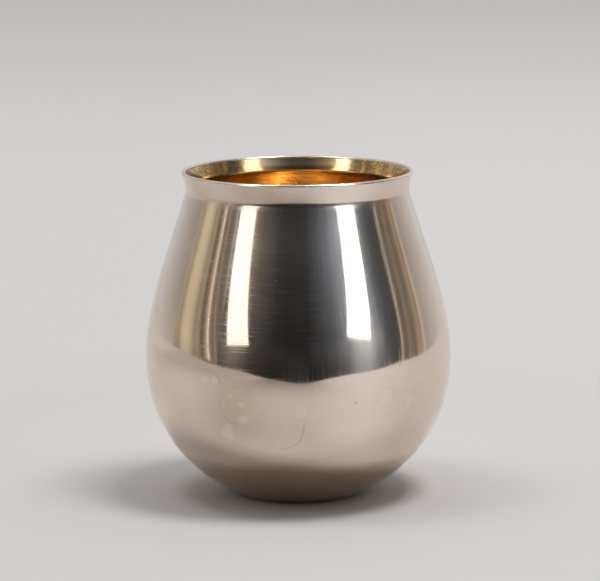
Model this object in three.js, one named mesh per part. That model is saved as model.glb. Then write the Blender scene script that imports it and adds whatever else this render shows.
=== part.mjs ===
// A silver beaker, gilt inside: a pot-bellied body raised from one sheet, with a turned-out lip,
// a half-round wire soldered on the edge of the lip, and gilding over the whole of the inside.
// Millimetres, +Z up. The origin is on the table, under the middle of the base.
import * as THREE from "three";

const { degToRad } = THREE.MathUtils;

// Driving dimensions: the outside of the body
const HEIGHT = 85; // table to the crown of the rim wire
const BELLY_RADIUS = 40; // widest ring
const BELLY_HEIGHT = 36.6; // height of the widest ring
const NECK_RADIUS = 29.12; // narrowest ring, under the lip
const NECK_BEND_RADIUS = 3.5; // hollow of the neck, between the wall and the lip
const NECK_TAPER = degToRad(16.6); // inward lean of the wall where it meets the neck
const LIP_BEND_RADIUS = 27; // slow outward curve of the lip
const LIP_LEAN = degToRad(10); // outward lean of the lip where it leaves the neck
const LIP_FLARE = degToRad(18.3); // outward lean of the lip at its edge
const SHOULDER_RISE = 13.3; // how far the wall holds upright above the belly
const SHOULDER_RUN = 14.6; // how far the wall holds the neck's lean below the neck
const BOWL_DROP = 20.4; // how far the wall holds upright below the belly
const BOWL_SPREAD = 11.8; // how far the wall holds the base's slope above the base
const BASE_SLOPE = degToRad(27.2); // rise of the wall where it leaves the base
const BASE_BEND_RADIUS = 2.5; // bend between the base and the wall
const STAND_RADIUS = 16.1; // outer edge of the flat ring that it stands on
const STAND_WIDTH = 3; // width of that ring
const BASE_DISH = 0.8; // rise of the middle of the underside above the table

// Driving dimensions: the metal
const SHEET = 0.75; // silver sheet of the body
const GILDING = 0.1; // gold on the inside, drawn far thicker than the real few microns
const SEAM = 0.1; // solder between the lip and the rim wire
const RIM_CROWN = 0.5; // half-round rim wire, from the solder to its crown
const RIM_OVERHANG = 0.06; // how far the wire stands out past each side of the lip

// Facets round the axis and steps along each stretch of the section
const FACETS = 48;
const DISH_STEPS = 3;
const STAND_STEPS = 1;
const BEND_STEPS = 2;
const BOWL_STEPS = 7;
const SHOULDER_STEPS = 6;
const NECK_STEPS = 4;
const LIP_STEPS = 3;
const RIM_STEPS = 6;

// Heights that the rim sets
const rimSeat = HEIGHT - RIM_CROWN;
const lipHeight = rimSeat - SEAM;
const lipRise = LIP_BEND_RADIUS * (Math.sin(LIP_FLARE) - Math.sin(LIP_LEAN));
const neckRise = NECK_BEND_RADIUS * Math.sin(LIP_LEAN);
const neckHeight = lipHeight - lipRise - neckRise;

// A point at a distance from another, in a direction measured up from the outward radius
function reach(from, distance, direction) {
  const x = from.x + distance * Math.cos(direction);
  const y = from.y + distance * Math.sin(direction);
  return new THREE.Vector2(x, y);
}

// A round stretch of the section
function arc(centre, radius, start, end, clockwise) {
  return new THREE.EllipseCurve(centre.x, centre.y, radius, radius, start, end, clockwise);
}

// Stretches of the outside from the middle of the underside up to the lip, as radius and height
function stretchesBelowLip() {
  const up = Math.PI / 2;
  const dishTop = new THREE.Vector2(0, BASE_DISH);
  const standInner = new THREE.Vector2(STAND_RADIUS - STAND_WIDTH, 0);
  const standOuter = new THREE.Vector2(STAND_RADIUS, 0);
  const dishHandle = standInner.x / 2;
  const dish = new THREE.CubicBezierCurve(
    dishTop,
    reach(dishTop, dishHandle, 0),
    reach(standInner, -dishHandle, 0),
    standInner,
  );
  const stand = new THREE.LineCurve(standInner, standOuter);

  const bendCentre = reach(standOuter, BASE_BEND_RADIUS, up);
  const bend = arc(bendCentre, BASE_BEND_RADIUS, -up, BASE_SLOPE - up, false);

  const bowlStart = reach(bendCentre, BASE_BEND_RADIUS, BASE_SLOPE - up);
  const belly = new THREE.Vector2(BELLY_RADIUS, BELLY_HEIGHT);
  const bowl = new THREE.CubicBezierCurve(
    bowlStart,
    reach(bowlStart, BOWL_SPREAD, BASE_SLOPE),
    reach(belly, -BOWL_DROP, up),
    belly,
  );

  const neckStart = reach(neckCentre(), NECK_BEND_RADIUS, Math.PI + NECK_TAPER);
  const neck = arc(neckCentre(), NECK_BEND_RADIUS, Math.PI + NECK_TAPER, Math.PI - LIP_LEAN, true);
  const shoulder = new THREE.CubicBezierCurve(
    belly,
    reach(belly, SHOULDER_RISE, up),
    reach(neckStart, -SHOULDER_RUN, up + NECK_TAPER),
    neckStart,
  );
  return [
    { curve: dish, steps: DISH_STEPS },
    { curve: stand, steps: STAND_STEPS },
    { curve: bend, steps: BEND_STEPS },
    { curve: bowl, steps: BOWL_STEPS },
    { curve: shoulder, steps: SHOULDER_STEPS },
    { curve: neck, steps: NECK_STEPS },
  ];
}

// The middle of the neck's hollow, out beside the narrowest ring
function neckCentre() {
  return new THREE.Vector2(NECK_RADIUS + NECK_BEND_RADIUS, neckHeight);
}

// The lip, up to where the wall at this depth meets the level of the lip's edge
function lipStretch(depth) {
  const start = reach(neckCentre(), NECK_BEND_RADIUS, Math.PI - LIP_LEAN);
  const centre = reach(start, LIP_BEND_RADIUS, -LIP_LEAN);
  const lean = Math.asin((lipHeight - centre.y) / (LIP_BEND_RADIUS + depth));
  const curve = arc(centre, LIP_BEND_RADIUS, Math.PI - LIP_LEAN, Math.PI - lean, true);
  return { curve, steps: LIP_STEPS };
}

// The section of the wall at a depth under its outside, from the axis to the edge of the lip
function wallLine(depth) {
  const line = [];
  for (const { curve, steps } of [...stretchesBelowLip(), lipStretch(depth)]) {
    // A stretch starts where the one before it ends, so only the first gives its start
    for (let step = line.length ? 1 : 0; step <= steps; step++) {
      const point = curve.getPoint(step / steps);
      const along = curve.getTangent(step / steps);
      line.push(new THREE.Vector2(point.x - depth * along.y, point.y + depth * along.x));
    }
  }
  line[0].x = 0;
  line.at(-1).y = lipHeight;
  return line;
}

// A layer of the wall between two depths: up its outer side, over its edge and down its inner side
function wallLayer(outerDepth, innerDepth) {
  return [...wallLine(outerDepth), ...wallLine(innerDepth).reverse()];
}

// A closed section turned about the axis into a named solid of one metal
function turned(name, section, metal) {
  const geometry = new THREE.LatheGeometry(section, FACETS);
  geometry.rotateX(Math.PI / 2);
  const material = new THREE.MeshStandardMaterial({ metalness: 1, ...metal });
  const mesh = new THREE.Mesh(geometry, material);
  mesh.name = name;
  return mesh;
}

// Metals
const SILVER = { color: 0xcfcbc2, roughness: 0.1 };
const SOLDER = { color: 0xa9a59b, roughness: 0.4 };
const GILT = { color: 0xc58c3c, roughness: 0.25 };

// The body: one raised sheet with a dished base, a flat ring to stand on and a turned-out lip
function bodyShell() {
  return turned("body_shell", wallLayer(0, SHEET), SILVER);
}

// The gilding: it covers the inside from the middle of the base to the edge of the lip
function giltLining() {
  return turned("gilt_lining", wallLayer(SHEET, SHEET + GILDING), GILT);
}

// Radii of the edge of the lip, with its gilding, which carries the solder and the wire
function lipEdge() {
  const inner = wallLine(SHEET + GILDING).at(-1).x;
  const outer = wallLine(0).at(-1).x;
  return { inner, outer };
}

// The solder: a thin flat ring between the edge of the lip and the wire
function rimSolderSeam() {
  const { inner, outer } = lipEdge();
  const section = [
    new THREE.Vector2(inner, lipHeight),
    new THREE.Vector2(outer, lipHeight),
    new THREE.Vector2(outer, rimSeat),
    new THREE.Vector2(inner, rimSeat),
    new THREE.Vector2(inner, lipHeight),
  ];
  return turned("rim_solder_seam", section, SOLDER);
}

// The rim wire: half-round, flat side down on the solder
function rimWire() {
  const { inner, outer } = lipEdge();
  const middle = (inner + outer) / 2;
  const halfWidth = (outer - inner) / 2 + RIM_OVERHANG;
  const crown = new THREE.EllipseCurve(middle, rimSeat, halfWidth, RIM_CROWN, 0, Math.PI);
  const round = crown.getPoints(RIM_STEPS);
  return turned("rim_wire", [round.at(-1), ...round], SILVER);
}

const beaker = new THREE.Group();
beaker.name = "silver_beaker";
beaker.add(bodyShell(), giltLining(), rimSolderSeam(), rimWire());

export default beaker;
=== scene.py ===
import math

import bpy
import numpy as np
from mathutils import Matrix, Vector

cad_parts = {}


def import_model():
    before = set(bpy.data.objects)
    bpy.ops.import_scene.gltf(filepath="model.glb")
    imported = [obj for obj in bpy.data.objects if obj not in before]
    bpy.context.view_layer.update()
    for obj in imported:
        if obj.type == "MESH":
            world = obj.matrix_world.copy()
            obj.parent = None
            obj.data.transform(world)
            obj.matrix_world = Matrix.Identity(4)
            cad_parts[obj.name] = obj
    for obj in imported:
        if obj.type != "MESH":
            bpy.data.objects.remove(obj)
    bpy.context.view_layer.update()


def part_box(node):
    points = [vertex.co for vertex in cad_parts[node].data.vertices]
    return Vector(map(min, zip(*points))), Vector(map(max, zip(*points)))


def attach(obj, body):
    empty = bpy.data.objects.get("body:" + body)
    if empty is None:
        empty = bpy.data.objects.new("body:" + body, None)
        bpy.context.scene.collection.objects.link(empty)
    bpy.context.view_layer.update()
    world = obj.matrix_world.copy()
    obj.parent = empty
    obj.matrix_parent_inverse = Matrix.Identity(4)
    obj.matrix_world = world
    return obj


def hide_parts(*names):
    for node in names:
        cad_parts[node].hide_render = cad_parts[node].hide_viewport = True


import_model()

# Sizes that the frame gives, in metres
body_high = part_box("body_shell")[1]
seam_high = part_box("rim_solder_seam")[1]
rim_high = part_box("rim_wire")[1]
BELLY_RADIUS = body_high.x
LIP_HEIGHT = body_high.z
LIP_RADIUS = seam_high.x
RIM_SEAT = seam_high.z
RIM_RADIUS = rim_high.x
HEIGHT = rim_high.z

# The rest of the section, as in the solids, in metres and radians
BELLY_HEIGHT = 0.0366
NECK_BEND_RADIUS = 0.0035
NECK_TAPER = math.radians(16.6)
LIP_BEND_RADIUS = 0.027
LIP_LEAN = math.radians(10)
LIP_FLARE = math.radians(18.3)
SHOULDER_RISE = 0.0133
SHOULDER_RUN = 0.0146
BOWL_DROP = 0.0204
BOWL_SPREAD = 0.0118
BASE_SLOPE = math.radians(27.2)
BASE_BEND_RADIUS = 0.0025
STAND_RADIUS = 0.0161
STAND_WIDTH = 0.003
BASE_DISH = 0.0008
SHEET = 0.00075
GILDING = 0.0001

# What the solids leave out: the maker's centre mark under the base and the unevenness of hand work
PUNCH_RADIUS = 0.0006
PUNCH_DEPTH = 0.00018
WALL_RIPPLE = 0.000016
RIM_RIPPLE = 0.00003
NECK_HEIGHT = 0.08
NECK_DROP = 0.00022  # how far the neck lies below its level in front
NECK_CLIMB = 0.001  # how far it lies above its level at the back
NECK_CLIMB_REACH = 0.014  # how far below the neck the wall follows it

# Points along each stretch of the section, and round the axis
DISH_POINTS = 24
STAND_POINTS = 5
BEND_POINTS = 8
BOWL_POINTS = 52
SHOULDER_POINTS = 52
NECK_POINTS = 14
LIP_POINTS = 14
RIM_POINTS = 20
TURN_POINTS = 256

# The photograph's camera: its picture, its place and its downward tilt
PICTURE_WIDTH = 600
FOCAL_PIXELS = 3241.1
SENSOR_WIDTH = 36.0
CAMERA_PLACE = (0.00055, -0.8367, 0.1935)
CAMERA_TILT = math.radians(9.522)
CAMERA_ROLL = math.radians(-0.35)


# Section of the wall

def reach(start, distance, direction):
    """The point at a distance from another, in a direction measured up from the outward radius."""
    return start + distance * np.array([math.cos(direction), math.sin(direction)])


def bezier(a, b, c, d, count):
    """Points of a cubic curve, without its start."""
    t = np.linspace(0, 1, count + 1)[1:, None]
    return (1 - t) ** 3 * a + 3 * (1 - t) ** 2 * t * b + 3 * (1 - t) * t**2 * c + t**3 * d


def arc(centre, radius, start, end, count):
    """Points of a round stretch, without its start."""
    turn = np.linspace(start, end, count + 1)[1:, None]
    return centre + radius * np.hstack([np.cos(turn), np.sin(turn)])


def outside_line():
    """The outside of the wall as radius and height, from the middle of the underside to the lip."""
    up = math.pi / 2
    dish_top = np.array([0, BASE_DISH])
    stand_inner = np.array([STAND_RADIUS - STAND_WIDTH, 0])
    stand_outer = np.array([STAND_RADIUS, 0])
    handle = stand_inner[0] / 2
    dish = bezier(
        dish_top, reach(dish_top, handle, 0), reach(stand_inner, -handle, 0), stand_inner, DISH_POINTS
    )
    along = np.linspace(0, 1, STAND_POINTS + 1)[1:, None]
    stand = stand_inner + along * (stand_outer - stand_inner)

    bend_centre = reach(stand_outer, BASE_BEND_RADIUS, up)
    bend = arc(bend_centre, BASE_BEND_RADIUS, -up, BASE_SLOPE - up, BEND_POINTS)
    belly = np.array([BELLY_RADIUS, BELLY_HEIGHT])
    bowl = bezier(
        bend[-1], reach(bend[-1], BOWL_SPREAD, BASE_SLOPE), reach(belly, -BOWL_DROP, up), belly, BOWL_POINTS
    )

    lip_edge = np.array([LIP_RADIUS, LIP_HEIGHT])
    lip_centre = reach(lip_edge, LIP_BEND_RADIUS, -LIP_FLARE)
    lip = arc(lip_centre, LIP_BEND_RADIUS, math.pi - LIP_LEAN, math.pi - LIP_FLARE, LIP_POINTS)
    lip_start = reach(lip_centre, LIP_BEND_RADIUS, math.pi - LIP_LEAN)
    neck_centre = reach(lip_start, NECK_BEND_RADIUS, -LIP_LEAN)
    neck = arc(neck_centre, NECK_BEND_RADIUS, math.pi + NECK_TAPER, math.pi - LIP_LEAN, NECK_POINTS)
    neck_start = reach(neck_centre, NECK_BEND_RADIUS, math.pi + NECK_TAPER)
    shoulder = bezier(
        belly,
        reach(belly, SHOULDER_RISE, up),
        reach(neck_start, -SHOULDER_RUN, up + NECK_TAPER),
        neck_start,
        SHOULDER_POINTS,
    )
    return np.vstack([dish_top, dish, stand, bend, bowl, shoulder, neck, lip])


def wall_line(depth):
    """The section of the wall at a depth under its outside, from the axis to the level of the lip."""
    outside = outside_line()
    along = np.gradient(outside, axis=0)
    along /= np.linalg.norm(along, axis=1)[:, None]
    line = outside + depth * np.column_stack([-along[:, 1], along[:, 0]])
    line[0, 0] = 0
    lip = line[-LIP_POINTS:]
    edge = np.array([np.interp(LIP_HEIGHT, lip[:, 1], lip[:, 0]), LIP_HEIGHT])
    return np.vstack([line[line[:, 1] < edge[1] - 1e-7], edge])


# Meshes

def wall_ripple(azimuth, height):
    """How far a point of the wall lies inside the true round and above it, from raising by hand."""
    share = np.clip(height / LIP_HEIGHT, 0, 1)
    fade = np.clip(4 * share, 0, 1) * np.clip(6 * (1 - share), 0, 1)
    waves = (
        np.sin(5 * azimuth + 9 * share + 0.6)
        + np.sin(8 * azimuth - 14 * share + 2.1)
        + np.sin(3 * azimuth + 21 * share + 4.0)
        + np.sin(13 * azimuth + 5 * share + 1.2)
    )
    from_neck = np.where(
        height > NECK_HEIGHT,
        (height - NECK_HEIGHT) / (LIP_HEIGHT - NECK_HEIGHT),
        (NECK_HEIGHT - height) / NECK_CLIMB_REACH,
    )
    near_neck = (1 + np.cos(math.pi * np.clip(from_neck, 0, 1))) / 2
    backward = ((1 - np.cos(azimuth)) / 2) ** 2
    climb = near_neck * (NECK_CLIMB * backward - NECK_DROP * (1 - backward))
    return WALL_RIPPLE * fade * (1 + waves / 4), climb


def rim_ripple(azimuth, height):
    """How far the wire lies inside its true round, fading out at its seat."""
    crown = (height - RIM_SEAT) / (HEIGHT - RIM_SEAT)
    waves = np.sin(7 * azimuth + 1.3) + np.sin(17 * azimuth + 0.4) + np.sin(29 * azimuth + 2.2)
    return RIM_RIPPLE * np.clip(crown, 0, 1) * (1 + waves / 3), 0


def no_ripple(azimuth, height):
    return 0, 0


def turned(name, section, ripple, material, node):
    """A piece of revolution that stands for a solid. Its section starts and ends on the axis or closes."""
    on_axis = section[0, 0] == 0
    rings = section[1:-1] if on_axis else section[:-1]
    azimuth = np.linspace(0, 2 * math.pi, TURN_POINTS, endpoint=False)
    turn, radius = np.meshgrid(azimuth, rings[:, 0])
    height = np.repeat(rings[:, 1], TURN_POINTS).reshape(turn.shape)
    inset, climb = ripple(turn, height)
    radius = radius - inset
    points = np.stack([radius * np.sin(turn), -radius * np.cos(turn), height + climb], -1).reshape(-1, 3)

    def vertex(ring, step):
        return ring * TURN_POINTS + step % TURN_POINTS

    count = len(rings)
    spans = count - 1 if on_axis else count
    faces = [
        (
            vertex(ring, step),
            vertex(ring, step + 1),
            vertex((ring + 1) % count, step + 1),
            vertex((ring + 1) % count, step),
        )
        for ring in range(spans)
        for step in range(TURN_POINTS)
    ]
    if on_axis:
        first, last = len(points), len(points) + 1
        poles = [(0, 0, section[0, 1]), (0, 0, section[-1, 1])]
        points = np.vstack([points, poles])
        faces += [(first, vertex(0, step + 1), vertex(0, step)) for step in range(TURN_POINTS)]
        top = count - 1
        faces += [(last, vertex(top, step), vertex(top, step + 1)) for step in range(TURN_POINTS)]

    mesh = bpy.data.meshes.new(name)
    mesh.from_pydata(points.tolist(), [], faces)
    mesh.shade_smooth()
    mesh.set_sharp_from_angle(angle=math.radians(40))
    mesh.materials.append(material)
    piece = bpy.data.objects.new(name, mesh)
    bpy.context.scene.collection.objects.link(piece)
    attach(piece, "root")
    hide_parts(node)
    return piece


# Materials

class Graph:
    """A material, or the world, whose nodes are added one call at a time."""

    def __init__(self, name, world=None):
        self.owner = world or bpy.data.materials.new(name)
        self.owner.use_nodes = True
        self.tree = self.owner.node_tree
        self.tree.nodes.clear()

    def node(self, kind, inputs, **settings):
        made = self.tree.nodes.new(kind)
        for key, value in settings.items():
            setattr(made, key, value)
        for key, value in inputs.items():
            if isinstance(value, bpy.types.NodeSocket):
                self.tree.links.new(value, made.inputs[key])
            else:
                made.inputs[key].default_value = value
        return made

    def math(self, operation, first, second=0.0):
        return self.node("ShaderNodeMath", {0: first, 1: second}, operation=operation).outputs[0]

    def joined(self, operation, values):
        """Values taken together by an operation, one after another."""
        result = values[0]
        for value in values[1:]:
            result = self.math(operation, result, value)
        return result

    def total(self, *values):
        return self.joined("ADD", values)

    def product(self, *values):
        return self.joined("MULTIPLY", values)

    def nearest(self, distances):
        return self.joined("MINIMUM", distances)

    def from_middle(self, value, middle):
        """How far a value lies from a middle, on either side."""
        return self.math("ABSOLUTE", self.math("SUBTRACT", value, middle))

    def spread(self, value, low, high, start=0.0, end=1.0):
        """The value's span from low to high, drawn out smoothly over start to end."""
        inputs = {"Value": value, "From Min": low, "From Max": high, "To Min": start, "To Max": end}
        return self.node("ShaderNodeMapRange", inputs, interpolation_type="SMOOTHSTEP").outputs[0]

    def mix(self, share, first, second):
        """Two colours mixed, with the share of the second."""
        made = self.node("ShaderNodeMix", {"Factor": share}, data_type="RGBA")
        for socket, value in ((made.inputs[6], first), (made.inputs[7], second)):
            if isinstance(value, bpy.types.NodeSocket):
                self.tree.links.new(value, socket)
            else:
                socket.default_value = (*value, 1)
        return made.outputs[2]

    def mix_values(self, share, first, second):
        return self.node("ShaderNodeMix", {"Factor": share, 2: first, 3: second}).outputs[0]

    def noise(self, vector, scale, detail=3.0, roughness=0.55):
        inputs = {"Vector": vector, "Scale": scale, "Detail": detail, "Roughness": roughness}
        return self.node("ShaderNodeTexNoise", inputs).outputs[0]

    def place(self):
        return self.node("ShaderNodeTexCoord", {}).outputs["Object"]

    def round_and_up(self):
        """The distance round the belly from the front, and the height, both in metres."""
        parts = self.node("ShaderNodeSeparateXYZ", {0: self.place()}).outputs
        forward = self.product(parts[1], -1.0)
        azimuth = self.math("ARCTAN2", parts[0], forward)
        return self.product(azimuth, BELLY_RADIUS), parts[2]

    def lines(self, along, across, length, width, offset):
        """Fine parallel lines of about a length and a width in metres."""
        run = self.math("DIVIDE", along, length)
        step = self.math("DIVIDE", across, width)
        vector = self.node("ShaderNodeCombineXYZ", {0: run, 1: step, 2: offset}).outputs[0]
        return self.spread(self.noise(vector, 1.0, 2.0), 0.46, 0.72)

    def vector(self, operation, first, second=(0, 0, 0)):
        made = self.node("ShaderNodeVectorMath", {0: first, 1: second}, operation=operation)
        return made.outputs["Value" if operation in ("DISTANCE", "DOT_PRODUCT", "LENGTH") else "Vector"]

    def from_line(self, place, start, end):
        """The distance of a place from the straight line between two points."""
        run = Vector(end) - Vector(start)
        share = self.vector("DOT_PRODUCT", self.vector("SUBTRACT", place, start), run / run.length_squared)
        share = self.math("MINIMUM", self.math("MAXIMUM", share, 0.0), 1.0)
        foot = self.node("ShaderNodeVectorMath", {0: run, "Scale": share}, operation="SCALE").outputs[0]
        return self.vector("DISTANCE", place, self.vector("ADD", foot, start))

    def seen_directly(self):
        """1 for the rays that show a surface itself: to the camera, in a mirror or through glass."""
        rays = self.node("ShaderNodeLightPath", {}).outputs
        seen = self.math("MAXIMUM", rays["Is Camera Ray"], rays["Is Glossy Ray"])
        return self.math("MAXIMUM", seen, rays["Is Transmission Ray"])

    def finish(self, shader):
        """The owner of the nodes, once the shader is its output."""
        kind = "World" if isinstance(self.owner, bpy.types.World) else "Material"
        output = self.tree.nodes.new("ShaderNodeOutput" + kind)
        self.tree.links.new(shader.outputs[0], output.inputs[0])
        return self.owner


def on_wall(azimuth, height):
    """The point of the wall's outside at an azimuth from the front, in degrees, and a height in metres."""
    line = outside_line()[DISH_POINTS:]
    radius = np.interp(height, line[:, 1], line[:, 0])
    turn = math.radians(azimuth)
    return (radius * math.sin(turn), -radius * math.cos(turn), height)


# Marks of use: azimuth from the front in degrees, height in metres, and the radius of each spot
WATER_SPOTS = (
    (-28.8, 0.0217, 0.0018),
    (-28.2, 0.0236, 0.0015),
    (-21.2, 0.0260, 0.0014),
    (-21.5, 0.0302, 0.0011),
    (-28.8, 0.0300, 0.0008),
    (-26.1, 0.0321, 0.0007),
    (-36.2, 0.0360, 0.0014),
    (-31.8, 0.0361, 0.0011),
    (-22.0, 0.0341, 0.0004),
    (-11.4, 0.0343, 0.0004),
    (-38.9, 0.0255, 0.0006),
    (0.9, 0.0287, 0.0019),
    (33.8, 0.0315, 0.0024),
    (45.6, 0.0289, 0.0020),
)
SPECKS = ((21.4, 0.0305, 0.00026), (39.5, 0.0127, 0.00022), (-8.9, 0.0615, 0.0002))
SCRATCHES = (
    ((2.1, 0.0255), (1.7, 0.0230), (0.2, 0.0205), (-3.4, 0.0190), (-7.9, 0.0184)),
    ((-29.7, 0.02705), (-23.5, 0.0242)),
    ((-30.9, 0.0374), (-29.7, 0.0355)),
)
SCRATCH_WIDTH = 0.00012

# A lighter band and a darker band of the wall: distance round the belly from the front, and reach
LIGHTER_BAND_PLACE = 0.0165
LIGHTER_BAND_REACH = 0.018
DARKER_BAND_PLACE = -0.0165
DARKER_BAND_REACH = 0.016

# Heights between which those bands fade out into the lower belly, and between which a painted shade darkens
# it toward the base
BANDS_FADE = (0.0165, 0.0245)
BASE_DARKENS = (0.0142, 0.0102)

# A smudge on the lip, at an azimuth from the front in degrees and a height in metres
SMUDGE = (-19.0, 0.0825)

# Hairlines of polishing: their length and width in metres, and how widely they scatter light
HAIRLINE = (0.012, 0.00034)
HAIRLINE_SCATTER = 0.4

CLEAN_SILVER = (0.94, 0.84, 0.745)
TARNISHED_SILVER = (0.62, 0.49, 0.39)
HAZY_SILVER = (0.84, 0.76, 0.68)
WATER_SPOT_COLOUR = (0.9, 0.85, 0.79)
TIDE_COLOUR = (0.6, 0.48, 0.38)
SCRATCH_COLOUR = (0.3, 0.23, 0.17)


def from_spots(g, place, spots):
    """The distance of a place from the edge of the nearest round spot, which is less than 0 inside it."""
    return g.nearest(
        [g.math("SUBTRACT", g.vector("DISTANCE", place, on_wall(*at)), radius) for *at, radius in spots]
    )


def marks(g, place):
    """Masks of the wall's marks: dried water spots, their tide lines, and scratches with specks."""
    wander = g.spread(g.noise(place, 500.0, 2.0), 0.3, 0.7, -0.0003, 0.0003)
    spot = g.math("ADD", from_spots(g, place, WATER_SPOTS), wander)
    inside = g.spread(spot, 0.0001, -0.0004)
    tide = g.spread(g.math("ABSOLUTE", spot), 0.0003, 0.0)
    scratches = [
        g.from_line(place, on_wall(*start), on_wall(*end))
        for points in SCRATCHES
        for start, end in zip(points, points[1:])
    ]
    scratch = g.nearest([*scratches, from_spots(g, place, SPECKS)])
    return inside, tide, g.spread(scratch, 2 * SCRATCH_WIDTH, SCRATCH_WIDTH / 2)


def silver():
    """Polished silver: warm with light tarnish, crossed hairlines, hazy patches and marks of use, a lighter
    and a darker band, and painted shade toward the base.
    """
    g = Graph("polished_silver")
    around, up = g.round_and_up()
    place = g.place()
    level_lines = g.lines(around, up, *HAIRLINE, 0.0)
    upright_lines = g.lines(up, around, *HAIRLINE, 5.0)
    leftward = g.total(around, g.spread(g.noise(place, 45.0, 2.0), 0.3, 0.7, -0.012, 0.012))
    hairlines = g.mix_values(g.spread(leftward, 0.012, -0.008, 0.15, 0.85), upright_lines, level_lines)
    cloud = g.spread(g.noise(place, 120.0, 4.0), 0.35, 0.75)
    hollow = g.spread(g.from_middle(up, NECK_HEIGHT), 0.0025, 0.0008)
    inside, tide, scratch = marks(g, place)

    lighter_band = g.spread(g.from_middle(around, LIGHTER_BAND_PLACE), LIGHTER_BAND_REACH, 0.0)
    darker_band = g.spread(g.from_middle(around, DARKER_BAND_PLACE), DARKER_BAND_REACH, 0.0)
    mottle = g.spread(g.noise(place, 34.0, 5.0), 0.3, 0.7, -0.12, 0.12)
    smudge = g.spread(g.vector("DISTANCE", place, on_wall(*SMUDGE)), 0.005, 0.001)
    # Painted shade, added to the tarnish below: the silver darkens toward the base, where the belly mirrors
    # the shadow on the table
    painted_base_shade = g.spread(up, *BASE_DARKENS)
    tarnish = g.total(
        g.spread(up, *BANDS_FADE, 0.41, 0.56),
        mottle,
        g.product(lighter_band, g.spread(up, *BANDS_FADE, -0.3, -0.6)),
        g.product(darker_band, g.spread(up, *BANDS_FADE, 0.0, 0.46)),
        g.product(smudge, 0.4),
        g.product(painted_base_shade, 0.75),
    )
    colour = g.mix(tarnish, CLEAN_SILVER, TARNISHED_SILVER)
    colour = g.mix(g.product(cloud, 0.2), colour, HAZY_SILVER)
    colour = g.mix(g.product(inside, 0.2), colour, WATER_SPOT_COLOUR)
    colour = g.mix(g.product(tide, 0.17), colour, TIDE_COLOUR)
    colour = g.mix(g.product(scratch, 0.32), colour, SCRATCH_COLOUR)
    roughness = g.total(
        0.05,
        g.product(hairlines, 0.115),
        g.product(hollow, 0.1),
        g.product(cloud, 0.03),
        g.product(inside, 0.05),
        g.product(scratch, 0.2),
    )
    # The hairlines also scatter a little light widely, and a rough coat along them stands for that
    inputs = {
        "Base Color": colour,
        "Metallic": 1.0,
        "Roughness": roughness,
        "Coat Weight": g.product(hairlines, 0.9),
        "Coat Roughness": HAIRLINE_SCATTER,
    }
    return g.finish(g.node("ShaderNodeBsdfPrincipled", inputs))


BRIGHT_RIM = (0.94, 0.85, 0.7)
RUBBED_RIM = (0.84, 0.74, 0.59)


def rim_silver():
    """The wire: brighter silver, rubbed by use, with small nicks."""
    g = Graph("rubbed_silver")
    place = g.place()
    wear = g.spread(g.noise(place, 260.0, 4.0), 0.35, 0.7)
    nicks = g.spread(g.noise(place, 900.0, 2.0), 0.62, 0.75)
    colour = g.mix(wear, BRIGHT_RIM, RUBBED_RIM)
    roughness = g.total(0.2, g.product(wear, 0.06), g.product(nicks, 0.12))
    bump = g.node("ShaderNodeBump", {"Height": nicks, "Strength": 0.1, "Distance": 0.0001})
    inputs = {"Base Color": colour, "Metallic": 1.0, "Roughness": roughness, "Normal": bump.outputs[0]}
    return g.finish(g.node("ShaderNodeBsdfPrincipled", inputs))


PALE_SOLDER = (0.9, 0.88, 0.85)
DULL_SOLDER = (0.74, 0.71, 0.67)


def solder():
    """Silver solder: dull and grey, darker where it has tarnished."""
    g = Graph("silver_solder")
    tarnish = g.spread(g.noise(g.place(), 420.0, 4.0), 0.35, 0.7)
    colour = g.mix(tarnish, PALE_SOLDER, DULL_SOLDER)
    roughness = g.total(0.65, g.product(tarnish, 0.15))
    inputs = {"Base Color": colour, "Metallic": 1.0, "Roughness": roughness}
    return g.finish(g.node("ShaderNodeBsdfPrincipled", inputs))


# Stained places inside the lip, at azimuths from the front in degrees
STAIN_HEIGHT = 0.0825
STAINS = (-143, -133, -123, -107, 112, 130, 140)

FRESH_GOLD = (0.94, 0.69, 0.36)
BROWNED_GOLD = (0.8, 0.56, 0.27)
LIP_GOLD = (0.9, 0.58, 0.28)
RUBBED_GOLD = (0.86, 0.61, 0.36)
STAIN_COLOUR = (0.4, 0.29, 0.17)
SPECKLE_COLOUR = (0.12, 0.095, 0.05)


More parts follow.
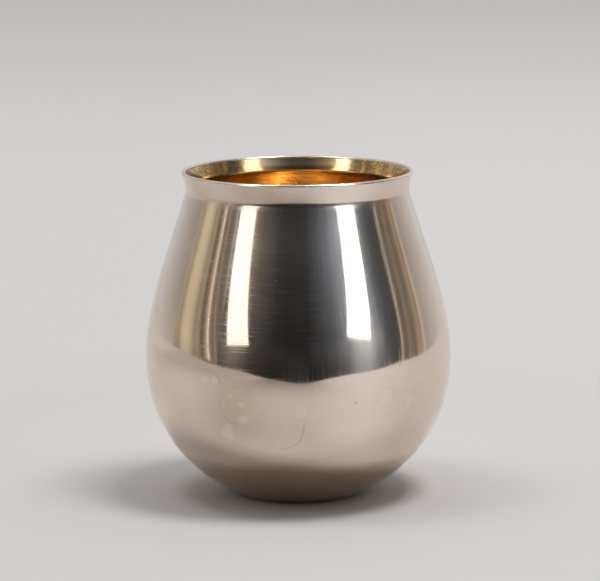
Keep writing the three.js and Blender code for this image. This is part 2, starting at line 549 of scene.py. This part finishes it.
def gilt():
    """Gilding: deep gold with a brown patina. On the lip it is rubbed thin, stained and speckled."""
    g = Graph("gilding")
    around, up = g.round_and_up()
    place = g.place()
    patina = g.spread(g.noise(place, 60.0, 6.0, 0.65), 0.36, 0.66)
    gold = g.mix(patina, FRESH_GOLD, BROWNED_GOLD)

    rubbed = g.math("ADD", up, g.spread(g.noise(place, 130.0, 3.0), 0.35, 0.65, -0.001, 0.001))
    bare = g.spread(rubbed, LIP_HEIGHT - 0.0026, LIP_HEIGHT - 0.0002)
    stain = g.nearest([g.vector("DISTANCE", place, on_wall(at, STAIN_HEIGHT)) for at in STAINS])
    stain = g.math("ADD", stain, g.spread(g.noise(place, 300.0, 3.0), 0.3, 0.7, -0.002, 0.002))
    stain = g.spread(stain, 0.0055, 0.003)
    speckle = g.product(stain, g.spread(g.noise(place, 1300.0, 3.0, 0.6), 0.47, 0.6))
    lip = g.mix(bare, LIP_GOLD, RUBBED_GOLD)
    lip = g.mix(g.product(stain, 0.45), lip, STAIN_COLOUR)
    lip = g.mix(g.product(speckle, 0.6), lip, SPECKLE_COLOUR)

    on_lip = g.spread(up, LIP_HEIGHT - 0.0055, LIP_HEIGHT - 0.0016)
    level_lines = g.lines(around, up, 0.008, 0.0003, 2.0)
    roughness = g.total(
        g.mix_values(on_lip, 0.15, 0.07),
        g.product(patina, 0.05),
        g.product(on_lip, speckle, 0.15),
        g.product(level_lines, 0.1),
    )
    inputs = {"Base Color": g.mix(on_lip, gold, lip), "Metallic": 1.0, "Roughness": roughness}
    return g.finish(g.node("ShaderNodeBsdfPrincipled", inputs))


# Pieces

def dress():
    outside, inside, gold = wall_line(0), wall_line(SHEET), wall_line(SHEET + GILDING)
    punched = outside.copy()
    from_axis = np.clip(punched[:, 0] / PUNCH_RADIUS, 0, 1)
    punched[:, 1] += PUNCH_DEPTH * (1 - from_axis**2) ** 2 * (punched[:, 1] < LIP_HEIGHT / 2)
    turned(
        "silver_body", np.vstack([punched, inside[::-1]]), wall_ripple, silver(), "body_shell"
    )
    turned("gilt_inside", np.vstack([inside, gold[::-1]]), wall_ripple, gilt(), "gilt_lining")

    inner, outer = gold[-1, 0], outside[-1, 0]
    seam = np.array([(inner, LIP_HEIGHT), (outer, LIP_HEIGHT), (outer, RIM_SEAT), (inner, RIM_SEAT)])
    turned("solder_seam", np.vstack([seam, seam[0]]), no_ripple, solder(), "rim_solder_seam")

    middle = (inner + outer) / 2
    half_width = RIM_RADIUS - middle
    sweep = np.linspace(0, math.pi, RIM_POINTS + 1)
    crown = np.column_stack(
        [middle + half_width * np.cos(sweep), RIM_SEAT + (HEIGHT - RIM_SEAT) * np.sin(sweep)]
    )
    turned("rim_ring", np.vstack([crown[-1], crown]), rim_ripple, rim_silver(), "rim_wire")


# Stage: a pale table, and plain cards and lamps that the metal mirrors

FLOOR_REACH = 6.0
FLOOR_DROP = 0.00004  # how far the table lies below the base, so that the two faces don't flicker
FLOOR_COLOUR = (0.635, 0.62, 0.61)
FLOOR_GRAIN = (0.58, 0.57, 0.56)
# Painted shadow on the paper in front of the object, which only the metal mirrors
PAINTED_SHADOW_FRONT = (0.3, 0.29, 0.28)  # in front of the object, where only the metal mirrors it
# Painted shade on the background paper to the left of the object
PAINTED_SHADE_LEFT = (0.5, 0.48, 0.455)
SHADOW_REACH = (0.09, 0.22)  # distances over which the shadowed paper runs out into the background
# Painted light on the background: lighter on the right, and darker far off, as the lamps' light falls off
BACKGROUND = ((0.648, 0.64, 0.625), (0.682, 0.655, 0.646))  # on the left and on the right
FAR_BACKGROUND = (0.5, 0.49, 0.485)
AMBIENT = (0.04, 0.64)  # from the front, and from the sides and the back
TABLE_LEFT = (-3.0, 0.05)  # far corner, from which the front edge runs straight to its smooth stretch
TABLE_FRONT = (
    (-0.75, -0.26),
    (-0.38, -0.36),
    (-0.1, -0.26),
    (0.01, -0.212),
    (0.1, -0.255),
    (0.2, -0.27),
    (0.3, -0.215),
    (0.52, -0.11),
)


def floor_paper():
    """Pale matt paper that takes the shadow near the object, with a painted shadow in front of it that only
    mirrors see, and runs out into a background with painted light and shade: lighter on the right, darker
    far off and to the left.
    """
    g = Graph("floor_paper")
    place = g.place()
    grain = g.noise(place, 900.0, 4.0)
    colour = g.mix(g.product(grain, 0.12), FLOOR_COLOUR, FLOOR_GRAIN)
    sideways, backward, _ = g.node("ShaderNodeSeparateXYZ", {0: place}).outputs
    mirrored = g.node("ShaderNodeLightPath", {}).outputs["Is Glossy Ray"]
    middle = g.product(g.spread(g.from_middle(sideways, -0.03), 0.16, 0.04), mirrored)
    # Painted shadow: for mirrors, the paper in front of the object darkens toward the table's front edge,
    # most in the middle
    painted_front_shadow = g.product(middle, g.spread(backward, -0.085, -0.25))
    colour = g.mix(painted_front_shadow, colour, PAINTED_SHADOW_FRONT)
    matt = g.node("ShaderNodeBsdfDiffuse", {"Color": colour})
    apart = g.vector("LENGTH", place)
    # Painted light: the background is lighter on the right and darker far from the object
    background = g.mix(g.spread(sideways, -0.1, 0.1), *BACKGROUND)
    background = g.mix(g.spread(apart, 0.5, 1.9), background, FAR_BACKGROUND)
    # Painted shade: the background is darker to the left of the object
    beside = g.spread(g.math("ABSOLUTE", backward), 0.3, 0.12)
    painted_left_shade = g.product(g.spread(sideways, -0.12, -0.35), beside)
    background = g.mix(painted_left_shade, background, PAINTED_SHADE_LEFT)
    even = g.node("ShaderNodeEmission", {"Color": background})
    share = g.product(g.spread(apart, *SHADOW_REACH), g.seen_directly())
    in_front = g.product(middle, g.spread(backward, -0.03, -0.085))
    share = g.product(share, g.math("SUBTRACT", 1.0, in_front))
    mixed = g.node("ShaderNodeMixShader", {0: share, 1: matt.outputs[0], 2: even.outputs[0]})
    return g.finish(mixed)


def flat_sheet(name, outline, material):
    mesh = bpy.data.meshes.new(name)
    points = [(x, y, -FLOOR_DROP) for x, y in outline]
    mesh.from_pydata(points, [], [tuple(range(len(points)))])
    mesh.materials.append(material)
    sheet = bpy.data.objects.new(name, mesh)
    bpy.context.scene.collection.objects.link(sheet)
    return sheet


def smooth_through(points, count):
    """A smooth line through given points, by the Catmull-Rom rule."""
    p = np.array([points[0], *points, points[-1]])
    t = np.linspace(0, 1, count, endpoint=False)[:, None]
    line = []
    for a, b, c, d in zip(p, p[1:], p[2:], p[3:]):
        slope = c - a
        bend = 2 * a - 5 * b + 4 * c - d
        twist = 3 * b - a - 3 * c + d
        line.append(b + (t * slope + t**2 * bend + t**3 * twist) / 2)
    return np.vstack([*line, p[-1]]).tolist()


def floor():
    """The table that the metal mirrors, up to its front edge, and the same paper beyond it."""
    paper = floor_paper()
    front = [TABLE_LEFT, *smooth_through(TABLE_FRONT, 12)]
    far = FLOOR_REACH
    back_left, back_right = (front[0][0], far), (front[-1][0], far)
    flat_sheet("table", [*front, back_right, back_left], paper)
    corners = [(-far, -far), (far, -far), (far, far)]
    apron = flat_sheet("floor_beyond", [*corners, back_right, *front[::-1], back_left, (-far, far)], paper)
    apron.visible_glossy = False


def world():
    """An even pale background, and a soft light from all round, with less of it from the front."""
    g = Graph("studio", bpy.data.worlds.new("studio"))
    toward = g.node("ShaderNodeTexCoord", {}).outputs["Generated"]
    backward = g.node("ShaderNodeSeparateXYZ", {0: toward}).outputs[1]
    soft = g.node("ShaderNodeBackground", {"Strength": g.spread(backward, -0.9, 0.1, *AMBIENT)})
    soft.inputs["Color"].default_value = (1, 1, 1, 1)
    even = g.node("ShaderNodeBackground", {"Color": (*FAR_BACKGROUND, 1)})
    direct = g.seen_directly()
    mixed = g.node("ShaderNodeMixShader", {0: direct, 1: soft.outputs[0], 2: even.outputs[0]})
    bpy.context.scene.world = g.finish(mixed)


def on_ring(azimuth, distance, height):
    """A point at an azimuth from the front, in degrees, a distance from the axis and a height."""
    turn = math.radians(azimuth)
    return Vector((distance * math.sin(turn), -distance * math.cos(turn), height))


def ramp(g, along, ends, stops):
    """Colours along a line between two ends, given as places on it with colours."""
    made = g.node("ShaderNodeValToRGB", {0: along})
    elements = made.color_ramp.elements
    elements.remove(elements[1])
    while len(elements) < len(stops):
        elements.new(0.5)
    for element, (place, colour) in zip(elements, stops):
        element.position = (place - ends[0]) / (ends[1] - ends[0])
        element.color = (*colour, 1)
    return made.outputs[0]


CARD_DISTANCE = 1.45
CARD_STEPS = 48


def card(name, heights, bands, shades=((0.0, 1.0),), lean=0.0, slope=0.0, distance=CARD_DISTANCE):
    """An upright curved card round part of the table, which only mirrors see.

    Its bands are azimuths from the front in degrees, with colours. Its shades are heights in metres,
    with the share of that colour. It leans by degrees per metre of height, and its ends slope by
    metres per degree.
    """
    steps = CARD_STEPS
    ends = (bands[0][0], bands[-1][0])
    turns = np.linspace(*ends, steps + 1)
    points = [
        on_ring(turn + lean * height, distance, height + slope * (turn - sum(ends) / 2))
        for turn in turns
        for height in heights
    ]
    faces = [(2 * i, 2 * i + 2, 2 * i + 3, 2 * i + 1) for i in range(steps)]
    mesh = bpy.data.meshes.new(name)
    mesh.from_pydata(points, [], faces)
    layer = mesh.uv_layers.new()
    for loop in mesh.loops:
        layer.uv[loop.index].vector = (loop.vertex_index // 2 / steps, loop.vertex_index % 2)

    g = Graph(name)
    on_card = g.node("ShaderNodeSeparateXYZ", {0: g.node("ShaderNodeUVMap", {}).outputs[0]})
    colour = ramp(g, on_card.outputs[0], ends, bands)
    strength = ramp(g, on_card.outputs[1], heights, [(height, (share,) * 3) for height, share in shades])
    mesh.materials.append(g.finish(g.node("ShaderNodeEmission", {"Color": colour, "Strength": strength})))

    made = bpy.data.objects.new(name, mesh)
    bpy.context.scene.collection.objects.link(made)
    for kind in ("camera", "diffuse", "shadow", "transmission", "volume_scatter"):
        setattr(made, "visible_" + kind, False)


# What each card shows: azimuths from the front in degrees with colours, or heights in metres with shares
LEFT_PALE = (
    (-180, (0.65, 0.67, 0.7)),
    (-150, (0.6, 0.61, 0.64)),
    (-135, (0.58, 0.585, 0.6)),
    (-124, (0.54, 0.53, 0.53)),
    (-112, (0.47, 0.45, 0.42)),
    (-95, (0.47, 0.45, 0.42)),
)
LEFT_WARM = (
    (-107, (0.41, 0.37, 0.32)),
    (-103.5, (0.46, 0.41, 0.33)),
    (-101, (0.38, 0.32, 0.22)),
    (-98.5, (0.56, 0.48, 0.35)),
    (-96, (0.7, 0.62, 0.47)),
    (-91, (0.72, 0.64, 0.48)),
    (-87, (0.6, 0.54, 0.4)),
    (-83, (0.34, 0.3, 0.22)),
    (-80, (0.42, 0.37, 0.29)),
    (-75, (0.3, 0.26, 0.19)),
    (-64, (0.36, 0.33, 0.28)),
    (-57, (0.2, 0.21, 0.18)),
)
LEFT_FOLD = (
    (-77, (0.26, 0.22, 0.16)),
    (-75, (0.17, 0.14, 0.1)),
    (-73.5, (0.2, 0.17, 0.12)),
    (-71.5, (0.42, 0.37, 0.29)),
    (-69.7, (0.75, 0.68, 0.56)),
    (-69, (1.5, 1.4, 1.2)),
    (-68.2, (0.5, 0.44, 0.36)),
    (-66.5, (0.25, 0.21, 0.165)),
    (-64.2, (0.24, 0.2, 0.16)),
    (-63, (0.44, 0.39, 0.33)),
    (-61.5, (0.25, 0.23, 0.2)),
    (-58, (0.18, 0.18, 0.155)),
)
# The front card is painted brighter next to the strips: a painted glow of the strips' light, which the
# hairlines of the metal scatter
FRONT = (
    (-62, (0.22, 0.25, 0.24)),
    (-42, (0.3, 0.3, 0.29)),
    (-36, (0.17, 0.17, 0.165)),
    (-28, (0.1, 0.105, 0.11)),
    (-18, (0.045, 0.05, 0.053)),
    (-8, (0.032, 0.036, 0.036)),
    (8, (0.034, 0.038, 0.04)),
    (18, (0.07, 0.08, 0.092)),
    (28, (0.135, 0.155, 0.19)),
    (36, (0.25, 0.28, 0.33)),
    (44, (0.38, 0.42, 0.47)),
    (52, (0.38, 0.42, 0.47)),
)
FRONT_SHADES = ((-0.7, 1.6), (-0.35, 1.1), (0.05, 0.9), (0.32, 0.6), (0.75, 1.0), (1.1, 2.2))
# The low cards are painted brightest just under the strips: a painted glow of their light, which the
# hairlines of the metal scatter
LEFT_LOW = (
    (-62, (0.1, 0.1, 0.095)),
    (-53, (0.21, 0.2, 0.195)),
    (-46, (0.18, 0.175, 0.17)),
    (-40, (0.1, 0.1, 0.1)),
    (-36, (0.06, 0.06, 0.061)),
    (-29, (0.04, 0.04, 0.04)),
    (-20, (0.026, 0.026, 0.026)),
    (-8, (0.022, 0.024, 0.024)),
)
RIGHT_LOW = (
    (8, (0.022, 0.025, 0.026)),
    (20, (0.04, 0.042, 0.046)),
    (29, (0.07, 0.075, 0.085)),
    (38, (0.14, 0.15, 0.17)),
    (46, (0.33, 0.34, 0.36)),
    (54, (0.38, 0.39, 0.41)),
    (58, (0.28, 0.29, 0.31)),
    (61, (0.2, 0.21, 0.225)),
    (68, (0.11, 0.115, 0.125)),
)
LOW_SHADES = ((-0.3, 0.65), (0.0, 1.0), (0.2, 1.5))
RIGHT_DARK = (
    (52, (0.34, 0.37, 0.42)),
    (61, (0.28, 0.31, 0.36)),
    (64, (0.19, 0.215, 0.25)),
    (67, (0.13, 0.148, 0.172)),
    (71, (0.085, 0.098, 0.112)),
    (76, (0.068, 0.075, 0.08)),
    (83, (0.07, 0.07, 0.06)),
)
RIGHT_WARM = (
    (82, (0.07, 0.07, 0.06)),
    (82.6, (0.12, 0.12, 0.11)),
    (83.6, (0.6, 0.58, 0.51)),
    (85.2, (0.22, 0.19, 0.15)),
    (88.5, (0.15, 0.12, 0.095)),
    (92, (0.27, 0.23, 0.18)),
    (96, (0.19, 0.16, 0.12)),
    (99, (0.22, 0.18, 0.14)),
    (103, (0.41, 0.34, 0.26)),
    (105.5, (0.29, 0.23, 0.165)),
    (108.5, (0.62, 0.55, 0.47)),
    (111, (0.42, 0.4, 0.38)),
    (113, (0.4, 0.385, 0.37)),
)
RIGHT_PALE = (
    (113, (0.4, 0.385, 0.37)),
    (119, (0.47, 0.46, 0.46)),
    (125, (0.52, 0.51, 0.52)),
    (132, (0.59, 0.585, 0.6)),
    (140, (0.65, 0.66, 0.68)),
    (150, (0.7, 0.715, 0.74)),
    (180, (0.55, 0.565, 0.59)),
)

# Strips of light in front, which only mirrors see and which light nothing: painted reflections of strip
# lamps. Azimuths of the edges in degrees, heights of the ends in metres, lean and slope
STRIP_DISTANCE = 1.2
STRIP_LIGHT = (2.13, 2.2, 2.27)
STRIPS = {
    "left_strip": ((-51.6, -34.2), (0.196, 1.0), -15.0, 0.0019),
    "right_strip": ((33.8, 52.3), (0.249, 1.0), 14.0, -0.0037),
}


def cards():
    card("left_pale_card", (-0.12, 1.3), LEFT_PALE, shades=((0.05, 1.0), (0.3, 0.8)), distance=1.47)
    card("left_warm_card", (-0.12, 1.3), LEFT_WARM, shades=((-0.1, 0.65), (0.15, 1.0)), lean=-12.0)
    card("left_fold_card", (0.0, 0.8), LEFT_FOLD, lean=-15.0, distance=1.42)
    card("left_low_card", (-0.8, 0.23), LEFT_LOW, shades=LOW_SHADES, distance=1.3)
    card("front_card", (-0.8, 1.9), FRONT, shades=FRONT_SHADES)
    card("right_low_card", (-0.8, 0.29), RIGHT_LOW, shades=LOW_SHADES, distance=1.3)
    card("right_dark_card", (-0.8, 1.9), RIGHT_DARK)
    card("right_warm_card", (-0.12, 1.3), RIGHT_WARM, lean=3.0)
    card("right_pale_card", (-0.12, 1.3), RIGHT_PALE)
    for name, (edges, heights, lean, slope) in STRIPS.items():
        bands = [(edge, STRIP_LIGHT) for edge in edges]
        card(name, heights, bands, lean=lean, slope=slope, distance=STRIP_DISTANCE)


def lamp(name, place, size, radiance):
    """A soft square of light that faces the middle of the table."""
    light = bpy.data.lights.new(name, "AREA")
    light.size = size
    light.energy = math.pi * size**2 * radiance
    light.color = (1.0, 0.985, 0.97)
    made = bpy.data.objects.new(name, light)
    made.location = place
    made.rotation_euler = (-Vector(place)).to_track_quat("-Z", "Y").to_euler()
    made.visible_camera = False
    bpy.context.scene.collection.objects.link(made)


# Overhead lamps: place across and along the table, size in metres, and radiance
OVERHEAD_HEIGHT = 1.24
OVERHEAD = {
    "right_overhead": ((0.38, -0.11), 0.36, 19.2),
    "left_overhead": ((-0.41, 0.02), 0.32, 6.7),
}


def lamps():
    for name, (place, size, radiance) in OVERHEAD.items():
        lamp(name, (*place, OVERHEAD_HEIGHT), size, radiance)


def camera():
    lens = bpy.data.cameras.new("camera")
    lens.sensor_width = SENSOR_WIDTH
    lens.lens = FOCAL_PIXELS / PICTURE_WIDTH * SENSOR_WIDTH
    made = bpy.data.objects.new("camera", lens)
    made.location = CAMERA_PLACE
    made.rotation_mode = "ZXY"
    made.rotation_euler = (math.pi / 2 - CAMERA_TILT, 0, CAMERA_ROLL)
    bpy.context.scene.collection.objects.link(made)
    bpy.context.scene.camera = made


camera()
dress()
floor()
world()
cards()
lamps()
bpy.context.scene.view_settings.view_transform = "Standard"
